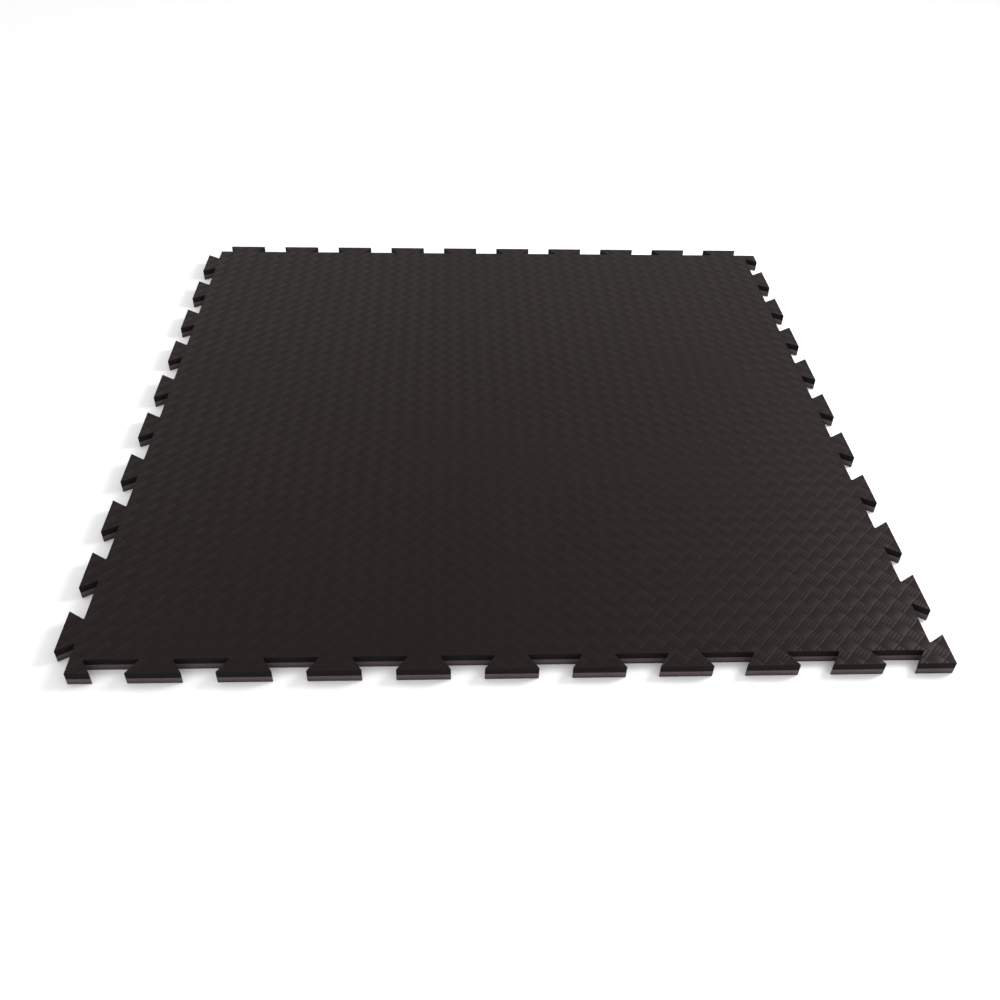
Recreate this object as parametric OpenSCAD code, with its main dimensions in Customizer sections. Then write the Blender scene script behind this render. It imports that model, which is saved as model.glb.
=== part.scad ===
// Interlocking foam floor tile for a training area, laid loose on the floor.
// Two foam layers are bonded face to face and die-cut together, so both have the same outline.
// The tile is a square cell with dovetail tabs standing out of its back and left sides.
// Its front and right sides have notches of the same shape, which take the next tiles' tabs.
// Millimetres. X right, Y back, Z up. The origin is on the floor, at the centre of the whole outline.

/* [Cell] */
// Distance between the centres of two joined tiles, and the side of the square cell
cell_size = 1000; // [300:1:1500]

/* [Dovetail comb] */
// Number of tabs on the back side, and again on the left side
tab_count = 10; // [2:1:16]
// Distance between the centres of two neighbouring tabs
tab_pitch = 99; // [40:0.5:150]
// Width of a tab at its outer end, where it is widest
tab_tip_width = 62.5; // [24:0.5:90]
// How far a tab stands out of the cell, and how deep a notch goes in
tab_depth = 20; // [8:0.5:50]
// Distance from the cell's back left corner to the centre of the first tab on each side
first_tab = 46; // [35:0.5:90]
// Radius of every corner of the die-cut outline
corner_radius = 0.8; // [0.4:0.1:4]

/* [Foam layers] */
// Thickness of the textured upper layer
top_thickness = 9; // [4:0.5:25]
// Thickness of the lower layer
bottom_thickness = 9; // [4:0.5:25]

/* [Hidden] */
$fn = 32;

// A tab's neck is as wide as the gap between two tab tips, so tabs and gaps have one shape
tab_neck_width = tab_pitch - tab_tip_width;
// Angle between a tab's slanted flank and the side it stands on
flank_angle = atan2(tab_depth, (tab_tip_width - tab_neck_width) / 2);
// Distance along either line from a sharp corner of that angle to where its rounding starts
rounding_run = corner_radius / tan(flank_angle / 2);
// Half widths at the centres of the roundings, at the tab's tip and at its root
tip_centre_x = tab_tip_width / 2 - rounding_run;
root_centre_x = tab_neck_width / 2 + rounding_run;
// From a rounding's centre to where it meets the flank
to_flank = corner_radius * [sin(flank_angle), -cos(flank_angle)];
// How far a tab's root runs on past its base line, so that it joins or cuts cleanly
root_run = 5;
// Extra radius of the rounding discs, so that they cross the straight edges and don't only touch them
disc_extra = 0.001;

// The tabs add one depth on the left and at the back, so the cell sits half a depth off centre
cell_centre = [tab_depth / 2, -tab_depth / 2];
// The cell's back left corner, where both combs start
comb_corner = cell_centre + [-cell_size / 2, cell_size / 2];

// Right half of a tab with straight edges, whose corners are cut where their roundings start
half_tab = [
    [root_centre_x, -root_run],
    [root_centre_x, 0],
    [root_centre_x, corner_radius] - to_flank,
    [tip_centre_x, tab_depth - corner_radius] + to_flank,
    [tip_centre_x, tab_depth],
];
// The same points in the left half, in the order that carries on round the tab
other_half = [for (i = [len(half_tab) - 1 : -1 : 0]) [-half_tab[i].x, half_tab[i].y]];

TOP_COLOUR = [0.15, 0.135, 0.13];
BOTTOM_COLOUR = [0.31, 0.265, 0.27];

// A rounding disc on each side of a tab's middle line
module disc_pair(x, y) {
    for (side = [-1, 1]) {
        translate([side * x, y])
            circle(r = corner_radius + disc_extra);
    }
}

// One rounded dovetail, narrow at its root near y = 0 and wide at y = tab_depth
module dovetail() {
    difference() {
        union() {
            polygon(concat(half_tab, other_half));
            disc_pair(tip_centre_x, tab_depth - corner_radius);
        }
        disc_pair(root_centre_x, corner_radius);
    }
}

// A row of dovetails along +X from the origin, pointing to +Y
module comb() {
    for (i = [0 : tab_count - 1]) {
        translate([first_tab + i * tab_pitch, 0])
            dovetail();
    }
}

// The row on the back side
module back_comb() {
    translate(comb_corner)
        comb();
}

// The row on the left side, which is the back row mirrored about the diagonal through comb_corner
module left_comb() {
    translate(comb_corner)
        mirror([1, 1])
            comb();
}

// The square cell with rounded corners
module cell() {
    straight = cell_size - 2 * corner_radius;
    translate(cell_centre) {
        square([cell_size, straight], center = true);
        square([straight, cell_size], center = true);
        for (x = [-1, 1], y = [-1, 1]) {
            translate([x, y] * straight / 2)
                circle(r = corner_radius + disc_extra);
        }
    }
}

// The die-cut outline. A notch is the tab of the neighbour one cell away.
module outline() {
    difference() {
        union() {
            cell();
            back_comb();
            left_comb();
        }
        translate([0, -cell_size])
            back_comb();
        translate([cell_size, 0])
            left_comb();
    }
}

// The dark upper layer, whose textured face is walked on
module top_layer() {
    color(TOP_COLOUR)
        translate([0, 0, bottom_thickness])
            linear_extrude(height = top_thickness)
                outline();
}

// The lighter lower layer, which lies on the floor
module bottom_layer() {
    color(BOTTOM_COLOUR)
        linear_extrude(height = bottom_thickness)
            outline();
}

top_layer();
bottom_layer();
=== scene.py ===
import math

import bpy
import numpy as np
from mathutils import Euler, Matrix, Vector


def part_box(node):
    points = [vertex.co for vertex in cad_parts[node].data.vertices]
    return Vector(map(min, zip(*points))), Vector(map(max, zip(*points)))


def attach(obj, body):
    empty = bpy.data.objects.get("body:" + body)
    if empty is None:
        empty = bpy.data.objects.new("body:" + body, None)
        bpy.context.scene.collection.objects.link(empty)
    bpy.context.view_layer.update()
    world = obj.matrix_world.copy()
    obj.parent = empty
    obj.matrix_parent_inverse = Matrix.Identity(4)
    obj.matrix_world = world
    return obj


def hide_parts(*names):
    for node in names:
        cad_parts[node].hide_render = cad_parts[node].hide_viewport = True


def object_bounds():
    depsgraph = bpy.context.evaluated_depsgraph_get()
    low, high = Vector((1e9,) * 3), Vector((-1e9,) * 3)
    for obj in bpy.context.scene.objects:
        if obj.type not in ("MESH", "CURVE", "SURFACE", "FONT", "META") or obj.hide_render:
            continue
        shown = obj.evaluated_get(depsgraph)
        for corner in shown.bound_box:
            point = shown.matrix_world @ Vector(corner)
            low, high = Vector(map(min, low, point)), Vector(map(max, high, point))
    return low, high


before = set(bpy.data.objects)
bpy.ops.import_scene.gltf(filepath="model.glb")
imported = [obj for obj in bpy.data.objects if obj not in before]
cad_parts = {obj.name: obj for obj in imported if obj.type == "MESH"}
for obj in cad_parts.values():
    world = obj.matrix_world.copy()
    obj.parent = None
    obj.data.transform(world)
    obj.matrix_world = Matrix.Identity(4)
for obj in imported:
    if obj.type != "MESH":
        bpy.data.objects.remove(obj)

MM = 0.001
cad_low, cad_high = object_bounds()
top_low, top_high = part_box("top_layer")
bottom_low, bottom_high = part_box("bottom_layer")


def add_object(name, data):
    obj = bpy.data.objects.new(name, data)
    bpy.context.scene.collection.objects.link(obj)
    return obj


def make_mesh(name, vertices, faces):
    mesh = bpy.data.meshes.new(name)
    mesh.from_pydata([tuple(v) for v in vertices], [], faces)
    mesh.validate()
    mesh.update()
    return add_object(name, mesh)


# ---------------------------------------------------------------- die-cut outline
# The same numbers as in the CAD source, in metres.
CELL = 1000 * MM
TAB_COUNT = 10
TAB_PITCH = 99 * MM
TAB_TIP = 62.5 * MM
TAB_DEPTH = 20 * MM
FIRST_TAB = 46 * MM
CORNER_R = 0.8 * MM

TAB_NECK = TAB_PITCH - TAB_TIP
FLANK = math.atan2(TAB_DEPTH, (TAB_TIP - TAB_NECK) / 2)
ROUNDING_RUN = CORNER_R / math.tan(FLANK / 2)
TIP_X = TAB_TIP / 2 - ROUNDING_RUN
ROOT_X = TAB_NECK / 2 + ROUNDING_RUN

CELL_LEFT = cad_low.x + TAB_DEPTH
CELL_BACK = cad_high.y - TAB_DEPTH

ARC_STEPS = 4
SHORTEST_EDGE = 0.05 * MM

# The two edges of a layer's side, as (mm behind that face, mm that the outline moves inwards).
# The pressed edge runs on past its face, where the weave cuts it off.
PRESSED_EDGE = ((1.1, 0), (0.55, 0.12), (0.2, 0.36), (-0.3, 0.76))
BONDED_EDGE = ((0, 0.16), (0.16, 0))


def arc(cx, cy, start, end):
    """Points on a rounded corner's arc, both ends included; angles in degrees."""
    angles = np.radians(np.linspace(start, end, ARC_STEPS + 1))
    return [(cx + CORNER_R * math.cos(a), cy + CORNER_R * math.sin(a)) for a in angles]


def comb():
    """The outline along one side of the cell, as (distance along it, distance out of it)."""
    lean = 90 - math.degrees(FLANK)
    points = []
    for i in range(TAB_COUNT):
        middle = FIRST_TAB + i * TAB_PITCH
        half = arc(-ROOT_X, CORNER_R, -90, lean)
        half += arc(-TIP_X, TAB_DEPTH - CORNER_R, 180 + lean, 90)
        points += [(middle + t, n) for t, n in half]
        points += [(middle - t, n) for t, n in reversed(half)]
    return points


def outline():
    """The whole outline, clockwise seen from above, with the cell's corners rounded."""
    row = comb()
    r = CORNER_R
    left, right = CELL_LEFT, CELL_LEFT + CELL
    back, front = CELL_BACK, CELL_BACK - CELL
    points = arc(left + r, back - r, 180, 90)
    points += [(left + t, back + n) for t, n in row]
    points += arc(right - r, back - r, 90, 0)
    points += [(right - n, back - t) for t, n in row]
    points += arc(right - r, front + r, 0, -90)
    points += [(left + t, front + n) for t, n in reversed(row)]
    points += arc(left + r, front + r, -90, -180)
    points += [(left - n, back - t) for t, n in reversed(row)]
    return np.array(points)


def thinned(points):
    """The same closed line without the points that lie on top of the one before."""
    gap = np.linalg.norm(points - np.roll(points, 1, axis=0), axis=1)
    return points[gap > SHORTEST_EDGE]


def inset(points, distance):
    """The closed clockwise line moved into the foam, keeping its number of points."""
    ahead = np.roll(points, -1, axis=0) - points
    ahead /= np.linalg.norm(ahead, axis=1)[:, None]
    behind = np.roll(ahead, 1, axis=0)
    inward = np.stack([ahead[:, 1], -ahead[:, 0]], axis=1)
    inward_behind = np.stack([behind[:, 1], -behind[:, 0]], axis=1)
    bisector = inward + inward_behind
    bisector /= (1 + (inward * inward_behind).sum(axis=1))[:, None]
    return points + bisector * distance


def rings(outer_z, bond_z):
    """One layer's rings as (height, inset), lowest first."""
    up = 1 if outer_z > bond_z else -1
    pressed = [(outer_z - up * depth * MM, move * MM) for depth, move in PRESSED_EDGE]
    bonded = [(bond_z + up * depth * MM, move * MM) for depth, move in BONDED_EDGE]
    return sorted(pressed + bonded)


def prism(levels):
    """A closed solid through the outline at each (height, inset), lowest first."""
    base = thinned(outline())
    count = len(base)
    vertices, faces = [], []
    for z, move in levels:
        vertices.append(np.column_stack([inset(base, move), np.full(count, z)]))
    for k in range(len(levels) - 1):
        a, b = k * count, (k + 1) * count
        for i in range(count):
            j = (i + 1) % count
            faces.append((a + j, a + i, b + i, b + j))
    last = (len(levels) - 1) * count
    faces.append(tuple(range(count)))                            # clockwise, so it faces down
    faces.append(tuple(reversed(range(last, last + count))))
    return make_mesh("prism", np.concatenate(vertices), faces)


# ---------------------------------------------------------------- embossed weave
# Squares turned by 45 degrees. Each holds four ribs, along one diagonal or the other in turn.
# The pattern lies about one degree off the sides, which were cut later.
WEAVE_X, WEAVE_Y = 23.5 * MM, 23.8 * MM     # from a square to the next like it, along X and Y
WEAVE_SLANT = 0.019                         # rise along Y for each unit along X
WEAVE_CENTRE = (4.8 * MM, 10.4 * MM)
WEAVE_MARGIN = 14 * MM                      # how far the squares go past the outline
WEAVE_BACKING = 30 * MM                     # thickness, far more than a layer's
RIBS = 4
RIB_SIDE = 0.25                             # share of a rib's width that each side slopes over
RIB_END = 0.05                              # share of its length that each end slopes over
RELIEF = 0.29 * MM
CORNERS = ((0, 0), (1, 0), (1, 1), (0, 1))  # of a square, anticlockwise


def weave_place(u, v):
    """The (x, y) of a point given in squares along the two diagonals."""
    x = (u - v) / 2 * WEAVE_X
    y = (u + v) / 2 * WEAVE_Y + WEAVE_SLANT * x
    return x + WEAVE_CENTRE[0], y + WEAVE_CENTRE[1]


def weave_squares():
    """The squares that cover the tile, as a set of (i, j)."""
    reach = cad_high.x + WEAVE_MARGIN
    n = int(math.ceil(2 * reach / WEAVE_X)) + 3
    squares = set()
    for i in range(-n, n):
        for j in range(-n, n):
            x, y = weave_place(i + 0.5, j + 0.5)
            if abs(x) < reach and abs(y) < reach:
                squares.add((i, j))
    return squares


def weave(z_face, up):
    """A thick closed sheet whose outer face carries the ribs. Its other side lies far behind."""
    z_low = z_face - RELIEF if up else z_face + RELIEF
    z_back = z_face - WEAVE_BACKING if up else z_face + WEAVE_BACKING
    squares = weave_squares()
    vertices, faces, index = [], [], {}

    def vertex(u, v, z):
        key = (round(u * 1000), round(v * 1000), z)
        if key not in index:
            index[key] = len(vertices)
            vertices.append((*weave_place(u, v), z))
        return index[key]

    def add(points):
        faces.append(tuple(points) if up else tuple(reversed(points)))

    share = 1 / RIBS
    slope = RIB_SIDE * share
    between = [q * share for q in range(1, RIBS)]
    for i, j in sorted(squares):
        along_u = (i + j) % 2 == 0

        def at(a, b, z):
            return vertex(i + a, j + b, z) if along_u else vertex(i + b, j + a, z)

        def face(points):
            add(points if along_u else list(reversed(points)))

        for k in range(RIBS):
            b0, b1 = k * share, (k + 1) * share
            low = [at(0, b0, z_low), at(1, b0, z_low), at(1, b1, z_low), at(0, b1, z_low)]
            high = [
                at(RIB_END, b0 + slope, z_face), at(1 - RIB_END, b0 + slope, z_face),
                at(1 - RIB_END, b1 - slope, z_face), at(RIB_END, b1 - slope, z_face),
            ]
            # The outermost ribs share their long sides with the next squares' rib ends.
            first = [at(q, b0, z_low) for q in between] if k == 0 else []
            last = [at(q, b1, z_low) for q in reversed(between)] if k == RIBS - 1 else []
            face(high)
            face([low[0], *first, low[1], high[1], high[0]])
            face([low[1], low[2], high[2], high[1]])
            face([low[2], *last, low[3], high[3], high[2]])
            face([low[3], low[0], high[0], high[3]])
        add([vertex(i + a, j + b, z_back) for a, b in reversed(CORNERS)])

        # A wall down to the back wherever no square follows.
        beyond = [(i, j - 1), (i + 1, j), (i, j + 1), (i - 1, j)]
        for q, neighbour in enumerate(beyond):
            if neighbour in squares:
                continue
            (a0, b0), (a1, b1) = CORNERS[q], CORNERS[(q + 1) % 4]
            rim = [
                vertex(i + a0 + (a1 - a0) * t, j + b0 + (b1 - b0) * t, z_low)
                for t in (m * share for m in range(RIBS + 1))
            ]
            back = [vertex(i + a0, j + b0, z_back), vertex(i + a1, j + b1, z_back)]
            add([*reversed(rim), *back])
    return make_mesh("weave", vertices, faces)


def intersect(solid, cutter, name):
    """solid within cutter, as a mesh of its own; both inputs are removed."""
    modifier = solid.modifiers.new("within", "BOOLEAN")
    modifier.operation = "INTERSECT"
    modifier.solver = "MANIFOLD"
    modifier.object = cutter
    bpy.context.view_layer.update()
    depsgraph = bpy.context.evaluated_depsgraph_get()
    mesh = bpy.data.meshes.new_from_object(solid.evaluated_get(depsgraph))
    mesh.name = name
    obj = add_object(name, mesh)
    for old in (solid, cutter):
        bpy.data.objects.remove(old)
    return obj


def foam_sheet(name, outer_z, bond_z):
    """One layer, embossed on its outer face and flat where it is bonded to the other."""
    return intersect(prism(rings(outer_z, bond_z)), weave(outer_z, outer_z > bond_z), name)


top = foam_sheet("top_foam_sheet", top_high.z, top_low.z)
bottom = foam_sheet("bottom_foam_sheet", bottom_low.z, bottom_high.z)


# ---------------------------------------------------------------- soft foam: waves, shading, slots
WAVE_HEIGHT = 0.25 * MM
WAVE_LENGTHS = (0.25, 0.60)
WAVE_COUNT = 7
WAVE_SUM = 4.5          # about the most that the waves add up to
WAVE_SEED = 5
SHARP_EDGE = math.radians(34)
FACE_NORMAL = 0.45      # a face whose normal's share along Z is larger belongs to the skin
SKIN, CUT = 0, 1        # material indices


def waver(x, y):
    """A smooth random height between about -1 and 1."""
    rng = np.random.default_rng(WAVE_SEED)
    total = np.zeros_like(x)
    for _ in range(WAVE_COUNT):
        angle = rng.uniform(0, math.pi)
        phase = rng.uniform(0, 2 * math.pi)
        length = rng.uniform(*WAVE_LENGTHS)
        total += np.sin(2 * math.pi * (x * math.cos(angle) + y * math.sin(angle)) / length + phase)
    return total / WAVE_SUM


def settle(obj, fixed_z, free_z):
    """Lets the free face rise and fall a little, as foam that isn't quite even does."""
    mesh = obj.data
    flat = np.empty(len(mesh.vertices) * 3)
    mesh.vertices.foreach_get("co", flat)
    points = flat.reshape(-1, 3)
    share = np.clip((points[:, 2] - fixed_z) / (free_z - fixed_z), 0, 1)
    points[:, 2] += share ** 2 * WAVE_HEIGHT * waver(points[:, 0], points[:, 1])
    mesh.vertices.foreach_set("co", points.ravel())
    mesh.update()


def finish_foam(obj, node, skin, cut, outward):
    mesh = obj.data
    mesh.materials.clear()
    mesh.materials.append(skin)
    mesh.materials.append(cut)
    mesh.shade_smooth()
    mesh.set_sharp_from_angle(angle=SHARP_EDGE)
    normals = np.empty(len(mesh.polygons) * 3)
    mesh.polygons.foreach_get("normal", normals)
    facing = normals.reshape(-1, 3)[:, 2] * outward
    which = np.where(facing > FACE_NORMAL, SKIN, CUT).astype(np.int32)
    mesh.polygons.foreach_set("material_index", which)
    mesh.update()
    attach(obj, "root")
    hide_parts(node)


# ---------------------------------------------------------------- materials
class Nodes:
    """A short way to write a material's node tree."""

    def __init__(self, name):
        self.material = bpy.data.materials.new(name)
        self.material.use_nodes = True
        self.tree = self.material.node_tree
        self.tree.nodes.clear()
        output = self.tree.nodes.new("ShaderNodeOutputMaterial")
        self.shader = self.tree.nodes.new("ShaderNodeBsdfPrincipled")
        self.link(self.shader.outputs[0], output.inputs["Surface"])
        self.place = self.tree.nodes.new("ShaderNodeTexCoord").outputs["Object"]
        self.normal = self.tree.nodes.new("ShaderNodeNewGeometry").outputs["Normal"]

    def link(self, a, b):
        self.tree.links.new(a, b)

    def put(self, socket, value):
        if isinstance(value, bpy.types.NodeSocket):
            self.link(value, socket)
        else:
            socket.default_value = value

    def into_shader(self, **values):
        """Sets or links the shader's inputs; an underscore stands for a space."""
        for key, value in values.items():
            self.put(self.shader.inputs[key.replace("_", " ")], value)

    def math(self, operation, a, b=0.0, c=0.0):
        node = self.tree.nodes.new("ShaderNodeMath")
        node.operation = operation
        for socket, value in zip(node.inputs, (a, b, c)):
            self.put(socket, value)
        return node.outputs[0]

    def ramp(self, value, low, high, out_low=0.0, out_high=1.0):
        node = self.tree.nodes.new("ShaderNodeMapRange")
        node.interpolation_type = "SMOOTHSTEP"
        names = ("Value", "From Min", "From Max", "To Min", "To Max")
        for key, v in zip(names, (value, low, high, out_low, out_high)):
            self.put(node.inputs[key], v)
        return node.outputs[0]

    def stretched(self, x, y, z):
        node = self.tree.nodes.new("ShaderNodeMapping")
        self.link(self.place, node.inputs["Vector"])
        node.inputs["Scale"].default_value = (x, y, z)
        return node.outputs[0]

    def noise(self, scale, detail, roughness, vector=None):
        node = self.tree.nodes.new("ShaderNodeTexNoise")
        self.link(vector or self.place, node.inputs["Vector"])
        node.inputs["Scale"].default_value = scale
        node.inputs["Detail"].default_value = detail
        node.inputs["Roughness"].default_value = roughness
        return node.outputs[0]

    def cells(self, scale, feature="F1"):
        node = self.tree.nodes.new("ShaderNodeTexVoronoi")
        node.feature = feature
        self.link(self.place, node.inputs["Vector"])
        node.inputs["Scale"].default_value = scale
        return node.outputs["Distance"]

    def z_of(self, vector):
        node = self.tree.nodes.new("ShaderNodeSeparateXYZ")
        self.link(vector, node.inputs[0])
        return node.outputs["Z"]

    def mix(self, share, a, b):
        node = self.tree.nodes.new("ShaderNodeMix")
        node.data_type = "RGBA"
        self.put(node.inputs["Factor"], share)
        for key, colour in (("A", a), ("B", b)):
            socket = [s for s in node.inputs if s.name == key and s.type == "RGBA"][0]
            socket.default_value = (*colour, 1.0)
        return [s for s in node.outputs if s.type == "RGBA"][0]

    def scaled(self, colour, factor):
        node = self.tree.nodes.new("ShaderNodeVectorMath")
        node.operation = "SCALE"
        self.put(node.inputs[0], colour)
        self.put(node.inputs["Scale"], factor)
        return node.outputs[0]

    def bump(self, height, strength, distance):
        node = self.tree.nodes.new("ShaderNodeBump")
        node.inputs["Strength"].default_value = strength
        node.inputs["Distance"].default_value = distance
        self.link(height, node.inputs["Height"])
        return node.outputs[0]

    def product(self, first, *others):
        for other in others:
            first = self.math("MULTIPLY", first, other)
        return first

    def around_one(self, value, share):
        """1 plus or minus that share, from a noise near a half."""
        return self.math("MULTIPLY_ADD", value, 2 * share, 1 - share)


# Linear colours: a new face, and the same foam where it is rubbed or cut open.
TOP_FOAM, TOP_WORN = (0.0074, 0.0055, 0.0052), (0.0195, 0.0155, 0.015)
TOP_CUT, TOP_OPENED = (0.0056, 0.0041, 0.0044), (0.0098, 0.0077, 0.0081)
LOW_FOAM, LOW_WORN = (0.056, 0.041, 0.0435), (0.11, 0.09, 0.095)
LOW_OPENED = (0.085, 0.065, 0.069)

SKIN_ROUGHNESS, CUT_ROUGHNESS = 0.33, 0.74
SKIN_SPECULAR, CUT_SPECULAR = 0.11, 0.10
SKIN_TINT = (1.0, 0.78, 0.75, 1.0)
SHEEN_WEIGHT, SHEEN_ROUGHNESS = 0.030, 0.5
SHEEN_TINT = (1.0, 0.74, 0.71, 1.0)
SKIN_BUMP, CUT_BUMP = 0.12 * MM, 0.25 * MM
SHADE_LOW, SHADE_HIGH = 0.8 * MM, 2.2 * MM      # where the painted shadow along a cut side's lower edge fades out


def foam_face(name, colour, worn, z_face):
    """The heat-embossed skin: closed, faintly pored, duller in the grooves and a little darker
    there as painted shade.
    """
    n = Nodes(name)
    depth = n.math("ABSOLUTE", n.math("SUBTRACT", n.z_of(n.place), z_face))
    groove = n.ramp(depth, 0.15 * RELIEF, RELIEF)
    broad = n.noise(3.2, 3.0, 0.55)
    patches = n.noise(38.0, 4.0, 0.6)
    grain = n.noise(900.0, 3.0, 0.65)
    pores = n.ramp(n.cells(1500.0), 0.05, 0.45)

    tone = n.product(
        n.around_one(broad, 0.16), n.around_one(patches, 0.10), n.around_one(grain, 0.16),
        # Painted shade: the grooves are made a little darker.
        n.math("MULTIPLY_ADD", groove, -0.05, 1.0),
    )
    rim = n.ramp(n.math("ABSOLUTE", n.z_of(n.normal)), 0.90, 0.60)
    scuff = n.product(rim, n.ramp(n.noise(70.0, 4.0, 0.7), 0.42, 0.66), 0.5)
    rough = n.math("MULTIPLY_ADD", groove, 0.04, SKIN_ROUGHNESS)
    rough = n.math("MULTIPLY_ADD", patches, 0.14, rough)
    rough = n.math("MULTIPLY_ADD", grain, 0.10, rough)
    skin = n.math("MULTIPLY_ADD", pores, 0.5, grain)
    n.into_shader(
        Base_Color=n.scaled(n.mix(scuff, colour, worn), tone),
        Roughness=rough,
        Normal=n.bump(skin, 0.35, SKIN_BUMP),
        Specular_IOR_Level=SKIN_SPECULAR,
        Specular_Tint=SKIN_TINT,
        Sheen_Weight=SHEEN_WEIGHT,
        Sheen_Roughness=SHEEN_ROUGHNESS,
        Sheen_Tint=SHEEN_TINT,
    )
    return n.material


def foam_cut(name, colour, opened, z_low, z_high, low_tone, high_tone, edge_shade_tone):
    """The die-cut side: opened cells, faint drag lines of the blade, and painted shade, darker
    towards its foot and darkest at its lower edge.
    """
    n = Nodes(name)
    height = n.z_of(n.place)
    drag = n.noise(260.0, 3.0, 0.6, n.stretched(1, 1, 0.06))
    cells = n.cells(1300.0)
    inside = n.ramp(n.cells(1300.0, "DISTANCE_TO_EDGE"), 0.02, 0.16)
    patches = n.noise(45.0, 3.0, 0.55)

    # Painted shade: the side grows darker towards its foot, with a band of painted shadow along
    # its lower edge.
    tone = n.product(
        n.ramp(height, z_low, z_high, low_tone, high_tone),
        n.ramp(height, z_low + SHADE_LOW, z_low + SHADE_HIGH, edge_shade_tone, 1.0),
        n.around_one(patches, 0.14), n.around_one(drag, 0.14),
    )
    pitted = n.math("MULTIPLY_ADD", drag, 1.4, cells)
    n.into_shader(
        Base_Color=n.scaled(n.mix(n.math("MULTIPLY", inside, 0.6), opened, colour), tone),
        Roughness=n.math("MULTIPLY_ADD", patches, 0.16, CUT_ROUGHNESS),
        Normal=n.bump(pitted, 0.45, CUT_BUMP),
        Specular_IOR_Level=CUT_SPECULAR,
    )
    return n.material


top_face = foam_face("embossed_top_skin", TOP_FOAM, TOP_WORN, top_high.z)
# Painted shade on the cut sides: darker towards the foot, most of all where the layer meets the
# floor or the other layer.
top_cut = foam_cut(
    "cut_top_foam", TOP_CUT, TOP_OPENED,
    top_low.z, top_high.z, low_tone=0.85, high_tone=1.0, edge_shade_tone=0.8,
)
bottom_face = foam_face("embossed_low_skin", LOW_FOAM, LOW_WORN, bottom_low.z)
bottom_cut = foam_cut(
    "cut_low_foam", LOW_FOAM, LOW_OPENED,
    bottom_low.z, bottom_high.z, low_tone=0.82, high_tone=1.28, edge_shade_tone=0.42,
)

settle(top, top_low.z, top_high.z)
finish_foam(top, "top_layer", top_face, top_cut, 1)
finish_foam(bottom, "bottom_layer", bottom_face, bottom_cut, -1)


# ---------------------------------------------------------------- stage, light and camera
FLOOR_HALF = 14.0
FLOOR_COLOUR = (0.95, 0.95, 0.95)

DOME_LEVEL, DOME_SHADED = 1.0, 0.64
SHADED_TOWARDS = Vector((0.1, 0.94, 0.30)).normalized()     # low behind the object
SHADE_STARTS, SHADE_FULL = 0.78, 1.0                        # cosine of the angle from there

KEY_PLACE, KEY_AIM = (1.85, 0.3, 1.4), (0.2, -0.1, 0.0)
KEY_SIZE, KEY_WATTS = 0.8, 37

CAMERA_PLACE = (-0.0646, -1.2266, 0.8817)
CAMERA_TURN = (49.374, -1.614, -2.234)                      # degrees
CAMERA_LENS, SENSOR_WIDTH = 35.76, 36.0                     # mm


def floor_material():
    n = Nodes("studio_floor")
    mottle = n.noise(0.7, 2.0, 0.5)
    n.into_shader(
        Base_Color=n.scaled(FLOOR_COLOUR, n.around_one(mottle, 0.01)),
        Roughness=0.9,
        Specular_IOR_Level=0.1,
    )
    return n.material


def studio_world():
    """An even white dome, softly shaded low behind the object. The camera sees plain white."""
    world = bpy.data.worlds.new("studio")
    bpy.context.scene.world = world
    world.use_nodes = True
    tree = world.node_tree
    tree.nodes.clear()
    output = tree.nodes.new("ShaderNodeOutputWorld")
    background = tree.nodes.new("ShaderNodeBackground")
    background.inputs["Color"].default_value = (1, 1, 1, 1)
    tree.links.new(background.outputs[0], output.inputs["Surface"])
    direction = tree.nodes.new("ShaderNodeTexCoord").outputs["Generated"]
    cosine = tree.nodes.new("ShaderNodeVectorMath")
    cosine.operation = "DOT_PRODUCT"
    tree.links.new(direction, cosine.inputs[0])
    cosine.inputs[1].default_value = SHADED_TOWARDS
    level = tree.nodes.new("ShaderNodeMapRange")
    level.interpolation_type = "SMOOTHSTEP"
    tree.links.new(cosine.outputs["Value"], level.inputs["Value"])
    level.inputs["From Min"].default_value = SHADE_STARTS
    level.inputs["From Max"].default_value = SHADE_FULL
    level.inputs["To Min"].default_value = DOME_LEVEL
    level.inputs["To Max"].default_value = DOME_SHADED
    seen = tree.nodes.new("ShaderNodeLightPath").outputs["Is Camera Ray"]
    mix = tree.nodes.new("ShaderNodeMix")
    tree.links.new(seen, mix.inputs[0])
    tree.links.new(level.outputs[0], mix.inputs[2])
    mix.inputs[3].default_value = 1.0
    tree.links.new(mix.outputs[0], background.inputs["Strength"])


floor = make_mesh(
    "studio_floor",
    [
        (-FLOOR_HALF, -FLOOR_HALF, 0), (FLOOR_HALF, -FLOOR_HALF, 0),
        (FLOOR_HALF, FLOOR_HALF, 0), (-FLOOR_HALF, FLOOR_HALF, 0),
    ],
    [(0, 1, 2, 3)],
)
floor.data.materials.append(floor_material())

studio_world()

key_data = bpy.data.lights.new("key_light", "AREA")
key_data.shape = "SQUARE"
key_data.size = KEY_SIZE
key_data.energy = KEY_WATTS
key_light = add_object("key_light", key_data)
key_light.location = KEY_PLACE
key_beam = Vector(KEY_AIM) - Vector(KEY_PLACE)
key_light.rotation_euler = key_beam.to_track_quat("-Z", "Y").to_euler()

camera_data = bpy.data.cameras.new("camera")
camera_data.sensor_width = SENSOR_WIDTH
camera_data.lens = CAMERA_LENS
camera_data.clip_start, camera_data.clip_end = 0.01, 100.0
camera = add_object("camera", camera_data)
camera.location = CAMERA_PLACE
camera.rotation_euler = Euler([math.radians(a) for a in CAMERA_TURN], "XYZ")
bpy.context.scene.camera = camera

view = bpy.context.scene.view_settings
view.view_transform = "Standard"
view.look = "None"
view.exposure = 0.0
view.gamma = 1.0
